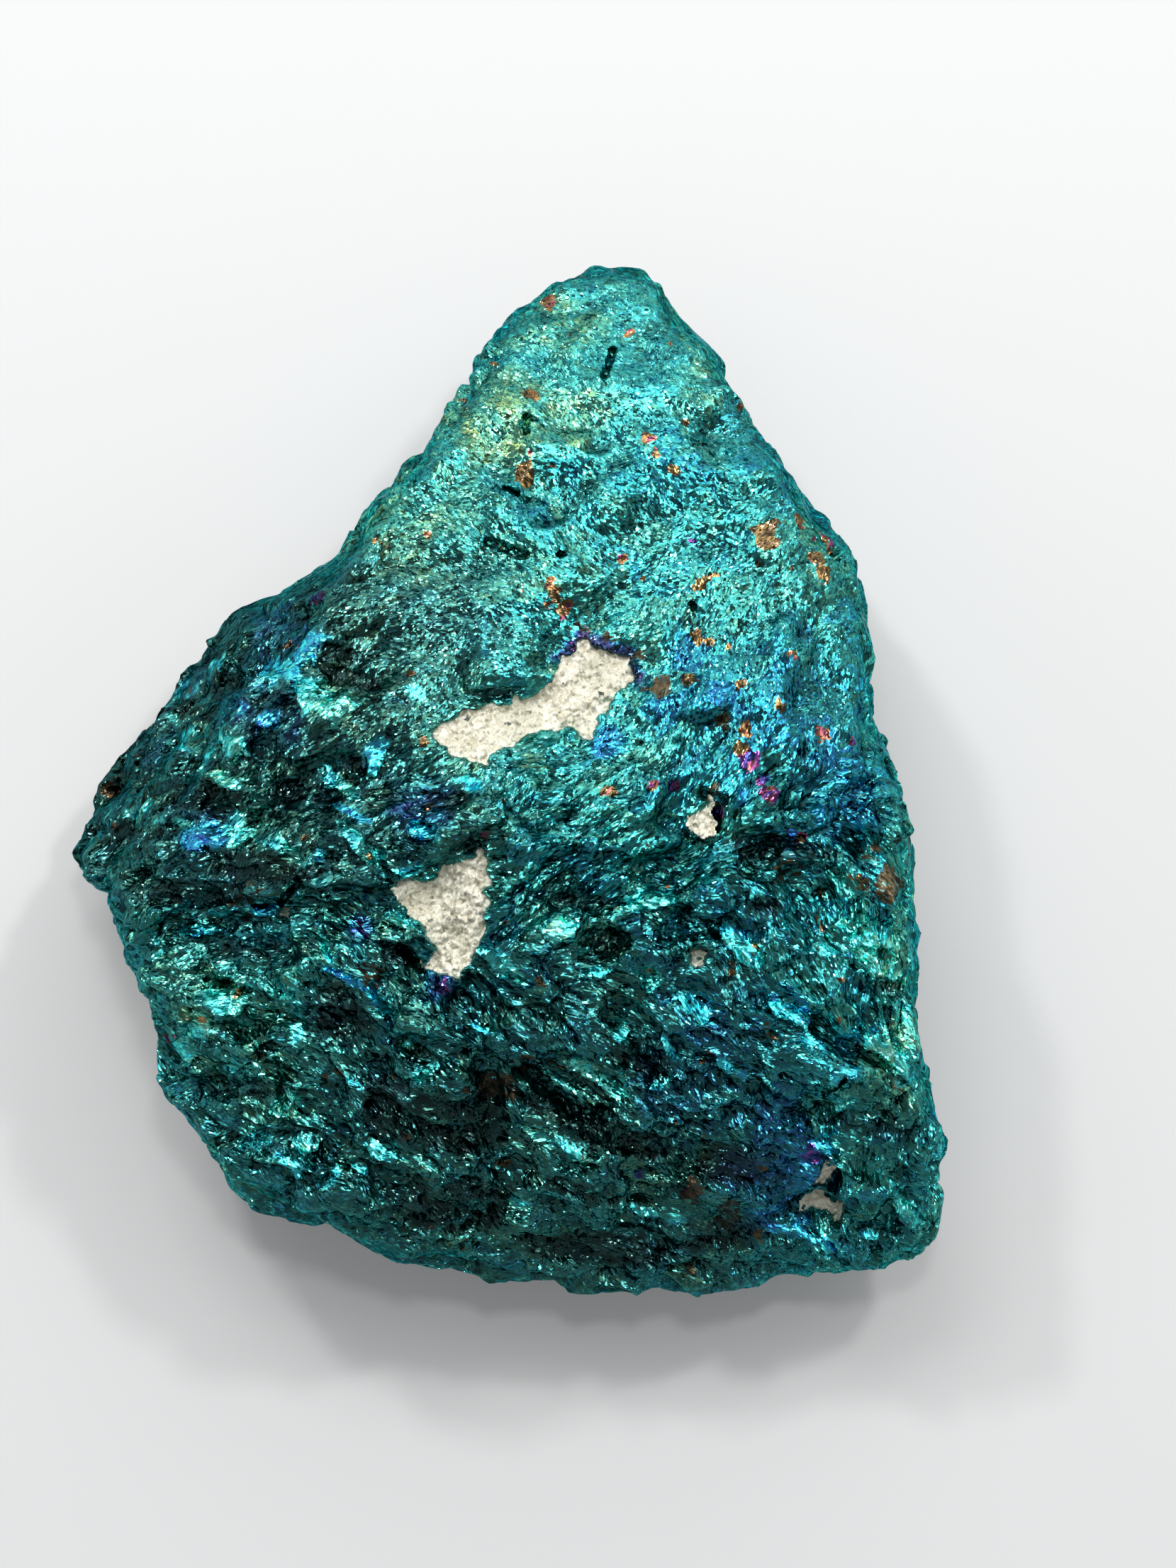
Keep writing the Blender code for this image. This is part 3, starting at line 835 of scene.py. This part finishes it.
def finish_stone(obj):
    """Turns the softened core into the finished skin, with what its material reads from it."""
    points, normals = mesh_points(obj.data), mesh_normals(obj.data)
    set_points(obj.data, roughened(points, normals))
    thin_out(obj, np.clip(0.6 - 0.4 * normals[:, 2], 0.2, 0.9), SKIN_TRIANGLES)
    mesh = obj.data
    points = mesh_points(mesh)
    points[:, 2] = np.maximum(points[:, 2], 0.0)
    set_points(mesh, points)
    facing = facing_up(mesh)
    up = eased(facing, *FILM_FADE)
    shown = eased(facing, *SHADE_FADE) * broken_up(points, facing)
    flat = as_seen(points)
    lit, lit_film, _ = lit_faces(points, flat)
    strength, thin_film = accents(points, flat, eased(facing, *ACCENT_FADE))
    # Hollow, dark, lit and side carry painted light and shade into the material.
    looks = {
        "hollow": hollowness(mesh, points),
        "film": film_thickness(points, flat, up, lit, lit_film),
        "accent": strength,
        "accent_film": thin_film,
        "dull": dullness(points, flat, up),
        "dark": painted_shade(points, flat, shown, lit),
        "lit": shown * painted_light_share(points, flat, lit),
        "coarse": coarseness(flat, up),
        "turn": streak_turn(flat),
        "side": faded(facing, *SIDE_FADE),
    }
    for name, values in looks.items():
        add_attribute(mesh, name, values)
    set_points(mesh, points * MM)
    mesh.shade_smooth()
    mesh.set_sharp_from_angle(angle=CREASE)
    lay_out_bake(mesh)


class Wiring:
    """Short ways to add and join shader nodes."""

    def __init__(self, owner):
        owner.use_nodes = True
        self.nodes = owner.node_tree.nodes
        self.links = owner.node_tree.links

    def fill(self, node, inputs):
        """Sets a node's inputs, and links those that come from another node."""
        for name, value in inputs.items():
            if isinstance(value, bpy.types.NodeSocket):
                self.links.new(value, node.inputs[name])
            else:
                node.inputs[name].default_value = value

    def surface(self, inputs):
        self.fill(self.nodes["Principled BSDF"], inputs)

    def node(self, kind, inputs, **settings):
        """The outputs of a new node."""
        node = self.nodes.new("ShaderNode" + kind)
        for name, value in settings.items():
            setattr(node, name, value)
        self.fill(node, inputs)
        return node.outputs

    def maths(self, operation, *inputs):
        return self.node("Math", dict(enumerate(inputs)), operation=operation)[0]

    def sum(self, first, second):
        return self.maths("ADD", first, second)

    def product(self, first, second):
        return self.maths("MULTIPLY", first, second)

    def vector(self, operation, *inputs):
        return self.node("VectorMath", dict(enumerate(inputs)), operation=operation)[0]

    def scaled(self, vector, factor):
        return self.node("VectorMath", {0: vector, "Scale": factor}, operation="SCALE")[0]

    def read(self, name):
        """A value that the mesh has at each of its points."""
        return self.node("Attribute", {}, attribute_name=name)["Fac"]

    def range(self, value, low, high, to_low=0.0, to_high=1.0):
        return self.node("MapRange", dict(enumerate((value, low, high, to_low, to_high))))[0]

    def between(self, share, start, end):
        """A number that runs from start to end while the share runs from 0 to 1."""
        return self.range(share, 0.0, 1.0, start, end)

    def mix(self, share, first, second, blend="MIX"):
        colours = {0: share, 6: first, 7: second}
        return self.node("Mix", colours, data_type="RGBA", blend_type=blend)[2]

    def ramp(self, value, stops):
        colour = self.node("ValToRGB", {0: value})[0]
        elements = colour.node.color_ramp.elements
        while len(elements) < len(stops):
            elements.new(0.5)
        for element, (place, shade) in zip(elements, stops):
            element.position = place
            element.color = (*shade, 1.0)
        return colour

    def parts(self, colour):
        return self.node("SeparateXYZ", {0: colour})

    def cells(self, place, size):
        """A mosaic of crystal faces of the given size, with a random colour and centre for each."""
        return self.node("TexVoronoi", {"Vector": place, "Scale": 1.0 / size})

    def normal(self):
        return self.node("NewGeometry", {})["Normal"]

    def leaned(self, lean, mosaic, tilt):
        """A normal that leans another way on each face of a mosaic."""
        off_centre = self.vector("SUBTRACT", mosaic, (0.5, 0.5, 0.5))
        return self.vector("ADD", lean, self.scaled(off_centre, tilt))

    def set_normal(self, lean):
        lean = self.vector("NORMALIZE", lean)
        self.surface({"Normal": lean, "Coat Normal": lean})

    def millimetres(self):
        """The place on the object, in millimetres."""
        return self.scaled(self.node("TexCoord", {})["Object"], 1.0 / MM)

    def streaks(self, place, broad):
        """A place inside its broad crystal, turned and squeezed along the crystal's own streaks."""
        spread = self.between(self.parts(broad["Color"])[2], -STREAK_SPREAD, STREAK_SPREAD)
        angle = self.product(self.sum(self.read("turn"), spread), -1.0)
        inside = self.vector("SUBTRACT", place, broad["Position"])
        turn = {"Vector": inside, "Angle": angle}
        straight = self.node("VectorRotate", turn, rotation_type="Z_AXIS")[0]
        squeeze = self.maths("DIVIDE", 1.0, self.between(self.read("coarse"), *STREAK_STRETCH))
        squeeze = self.node("CombineXYZ", {0: squeeze, 1: 1.0, 2: 1.0})[0]
        squeezed = self.vector("MULTIPLY", straight, squeeze)
        return self.vector("ADD", squeezed, self.scaled(broad["Color"], CRYSTAL_SHIFT))


def ore_painted_light_and_shade(wires):
    """Painted light and shade on the ore at a point, before its small faces vary it: lighter on ridges
    and lit faces, darker in hollows, dark parts and on upright sides.
    """
    shade = wires.range(wires.read("hollow"), -0.5, 1.0, *PAINTED_RIDGE_LIGHT_AND_HOLLOW_SHADE)
    for name, most in PAINTED_LIGHT_AND_SHADE.items():
        shade = wires.product(shade, wires.between(wires.read(name), 1.0, most))
    return shade


def ore_faces(wires, mosaics):
    """Leans the ore's small faces, and returns the film and the brightness that vary on them; the
    brightness carries the painted light and shade, and varies more on upright sides as painted sparkle.
    """
    lean = wires.normal()
    film = wires.read("film")
    shade = ore_painted_light_and_shade(wires)
    calm = wires.between(wires.read("lit"), 1.0, 0.85)
    side_sparkle = wires.between(wires.read("side"), 1.0, PAINTED_SIDE_SPARKLE)
    for mosaic, (_, tilts, film_change, shade_change) in zip(mosaics, FACES):
        tilt = wires.product(calm, wires.between(wires.read("coarse"), *tilts))
        lean = wires.leaned(lean, mosaic, tilt)
        random = wires.parts(mosaic)
        film = wires.sum(film, wires.between(random[0], -film_change, film_change))
        varied = wires.product(side_sparkle, wires.between(random[1], -shade_change, shade_change))
        varied = wires.maths("MAXIMUM", wires.sum(varied, 1.0), 0.1)
        shade = wires.product(shade, varied)
    wires.set_normal(lean)
    return film, shade


def ore_tarnish(wires, film, small, tiny):
    """The colour of the film, with the gold, red and violet accents on some of the small faces, greyed as
    painted shade where the ore is darkened.
    """
    reach = wires.sum(wires.product(small[1], 0.55), 0.12)
    accent = wires.maths("GREATER_THAN", wires.read("accent"), reach)
    change = wires.between(small[0], *ACCENT_FILM_RANGE)
    accent_film = wires.sum(wires.read("accent_film"), change)
    change = wires.maths("SUBTRACT", accent_film, film)
    film = wires.sum(film, wires.product(change, accent))
    film = wires.sum(film, wires.between(tiny[2], -0.05, 0.05))
    # Painted shade: the darkened parts are also greyed.
    grey = wires.product(wires.read("dark"), 0.24)
    return wires.mix(grey, wires.ramp(film, TARNISH), PAINTED_SHADE_GREY)


def ore_dullness(wires, small, tiny):
    """1 on the small faces that are brown and dull, 0 on the others."""
    reach = wires.sum(wires.product(tiny[1], 0.4), 0.1)
    reach = wires.sum(wires.product(small[1], 0.45), reach)
    return wires.range(wires.maths("SUBTRACT", wires.read("dull"), reach), 0.0, 0.12)


def ore_material():
    material = bpy.data.materials.new("tarnished_ore")
    wires = Wiring(material)
    place = wires.millimetres()
    broad = wires.cells(place, FACES[0][0])
    streaks = wires.streaks(place, broad)
    mosaics = [broad["Color"]] + [wires.cells(streaks, size)["Color"] for size, *_ in FACES[1:]]
    small, tiny = wires.parts(mosaics[1]), wires.parts(mosaics[2])

    film, shade = ore_faces(wires, mosaics)
    # The painted light and shade multiply the tarnish colour.
    colour = wires.mix(1.0, ore_tarnish(wires, film, small, tiny), shade, "MULTIPLY")
    dull = ore_dullness(wires, small, tiny)
    brown = wires.mix(small[0], *BROWNS)
    # The brown places take the same painted light and shade.
    brown = wires.mix(1.0, brown, wires.product(shade, 1.3), "MULTIPLY")
    rough = wires.between(small[2], *ORE_ROUGHNESS)
    coat = wires.between(dull, *ORE_COAT)
    wires.surface({
        "Base Color": wires.mix(dull, colour, brown),
        "Metallic": wires.between(dull, 1.0, 0.7),
        "Roughness": wires.sum(rough, wires.product(dull, 0.3)),
        "Coat Weight": wires.product(coat, wires.between(wires.read("side"), 1.0, 0.1)),
        "Coat Roughness": 0.08,
        "Specular Tint": ORE_EDGE_TINT,
    })
    return material


def gangue_material():
    material = bpy.data.materials.new("sugary_gangue")
    wires = Wiring(material)
    place = wires.millimetres()
    grains = wires.cells(place, GRAINS[0])["Color"]
    crumbs = wires.cells(place, CRUMBS[0])["Color"]
    random = wires.parts(grains)
    colour = wires.mix(random[0], *GRAIN_COLOURS)
    stain = {"Vector": place, "Scale": 1.0 / STAIN_SIZE, "Detail": 3.0}
    stain = wires.range(wires.node("TexNoise", stain)["Fac"], 0.5, 0.72)
    colour = wires.mix(wires.product(stain, 0.55), colour, STAIN_COLOUR)
    fine = wires.between(wires.parts(crumbs)[1], 0.86, 1.06)
    colour = wires.mix(1.0, colour, fine, "MULTIPLY")
    # Painted shade in the hollows between the grains.
    gaps = wires.range(wires.read("hollow"), 0.25, 1.0, 0.0, 0.6)
    colour = wires.mix(gaps, colour, PAINTED_GAP_SHADE)
    specks = wires.range(random[1], 0.994, 0.996)
    colour = wires.mix(specks, colour, SPECK_COLOUR)
    lean = wires.leaned(wires.normal(), grains, GRAINS[1])
    wires.set_normal(wires.leaned(lean, crumbs, CRUMBS[1]))
    wires.surface({
        "Base Color": colour,
        "Roughness": 0.45,
        "Coat Weight": 0.35,
        "Coat Roughness": 0.12,
    })
    return material


def surface_finder(obj):
    """A search tree of the stone before it was roughened, for finding its height at a place."""
    points = mesh_points(obj.data)
    faces = [tuple(face.vertices) for face in obj.data.polygons]
    return BVHTree.FromPolygons(points.tolist(), faces)


def seen_height(tree, x, y):
    """Where the line of sight through a flat place meets the stone."""
    eye = Vector((CAMERA_X, CAMERA_Y, OUTLINE_HEIGHT + CAMERA_DISTANCE))
    sight = Vector((x, y, OUTLINE_HEIGHT)) - eye
    return tree.ray_cast(eye, sight.normalized())[0]


def build_patch(name, outline, tree):
    """One closed piece of gangue: a grainy top, its skirt under the ore and a root below."""
    low = np.min(outline, axis=0) - PATCH_MARGIN
    high = np.max(outline, axis=0) + PATCH_MARGIN
    xs = np.arange(low[0], high[0], GRAIN_STEP)
    ys = np.arange(low[1], high[1], GRAIN_STEP)
    grid_x, grid_y = np.meshgrid(xs, ys)
    flat = np.column_stack((grid_x.ravel(), grid_y.ravel()))
    inside = ragged_depth(flat, outline).reshape(grid_x.shape) > -PATCH_SKIRT
    bm = bmesh.new()
    corners = {}

    def corner(row, column):
        if (row, column) not in corners:
            corners[row, column] = bm.verts.new(seen_height(tree, xs[column], ys[row]))
        return corners[row, column]

    for row in range(len(ys) - 1):
        for column in range(len(xs) - 1):
            square = ((row, column), (row, column + 1), (row + 1, column + 1), (row + 1, column))
            if all(inside[place] for place in square):
                bm.faces.new([corner(*place) for place in square])
    grown = bmesh.ops.extrude_face_region(bm, geom=bm.faces[:])
    top = [item for item in grown["geom"] if isinstance(item, bmesh.types.BMVert)]
    raised = set(top)
    for vert in bm.verts:
        if vert not in raised:
            vert.co.z -= PATCH_ROOT
    points = np.array([vert.co[:] for vert in top])
    heights = facets(points, 0.0, 1.0, *GRAIN_BREAKS) + pattern(points, "gangue")
    for vert, height in zip(top, heights):
        vert.co.z += height - PATCH_TOP
    bmesh.ops.recalc_face_normals(bm, faces=bm.faces)
    mesh = bpy.data.meshes.new(name)
    bm.to_mesh(mesh)
    bm.free()
    add_attribute(mesh, "hollow", hollowness(mesh, mesh_points(mesh)))
    set_points(mesh, mesh_points(mesh) * MM)
    mesh.shade_smooth()
    return new_object(name, mesh)


def add_light(name, place, width, length, power):
    data = bpy.data.lights.new(name, "AREA")
    data.shape = "RECTANGLE"
    data.size = width
    data.size_y = length
    data.energy = power
    obj = new_object(name, data)
    obj.location = place
    obj.rotation_euler = (Vector(LIGHT_TARGET) - obj.location).to_track_quat("-Z", "Y").to_euler()


def add_world():
    """Light round the horizon, and dimmer overhead."""
    world = bpy.data.worlds.new("studio")
    bpy.context.scene.world = world
    wires = Wiring(world)
    height = wires.parts(wires.node("TexCoord", {})["Generated"])[2]
    strength = wires.range(height, 0.0, 0.5, *WORLD_STRENGTH)
    wires.fill(wires.nodes["Background"], {"Color": WORLD_COLOUR, "Strength": strength})


def add_studio():
    add_world()
    for name, light in LIGHTS.items():
        add_light(name, *light)


def add_floor():
    bm = bmesh.new()
    bmesh.ops.create_grid(bm, x_segments=1, y_segments=1, size=FLOOR_HALF_WIDTH)
    mesh = bpy.data.meshes.new("floor")
    bm.to_mesh(mesh)
    bm.free()
    floor = new_object("floor", mesh)
    material = bpy.data.materials.new("pale_floor")
    Wiring(material).surface({
        "Base Color": FLOOR_COLOUR,
        "Roughness": 0.8,
        "Emission Color": (1.0, 1.0, 1.0, 1.0),
        "Emission Strength": 0.08,
    })
    mesh.materials.append(material)


def add_camera():
    """Straight above, with the stone where the photograph has it."""
    data = bpy.data.cameras.new("camera")
    camera = new_object("camera", data)
    camera.location = (CAMERA_X * MM, CAMERA_Y * MM, (OUTLINE_HEIGHT + CAMERA_DISTANCE) * MM)
    data.sensor_width = SENSOR_MM
    data.lens = SENSOR_MM * CAMERA_DISTANCE * PIXELS_PER_MM / PHOTO_HEIGHT
    data.clip_start = 0.01
    bpy.context.scene.camera = camera


def finish_piece(obj, material):
    obj.data.materials.append(material)
    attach(obj, BODY)


add_camera()
add_studio()
add_floor()

stone = softened_core()
core_surface = surface_finder(stone)
finish_stone(stone)
finish_piece(stone, ore_material())
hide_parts(NODE)
gangue = gangue_material()
for patch_name, patch_outline in PATCHES.items():
    finish_piece(build_patch(patch_name, patch_outline, core_surface), gangue)

bpy.context.scene.view_settings.view_transform = "Standard"
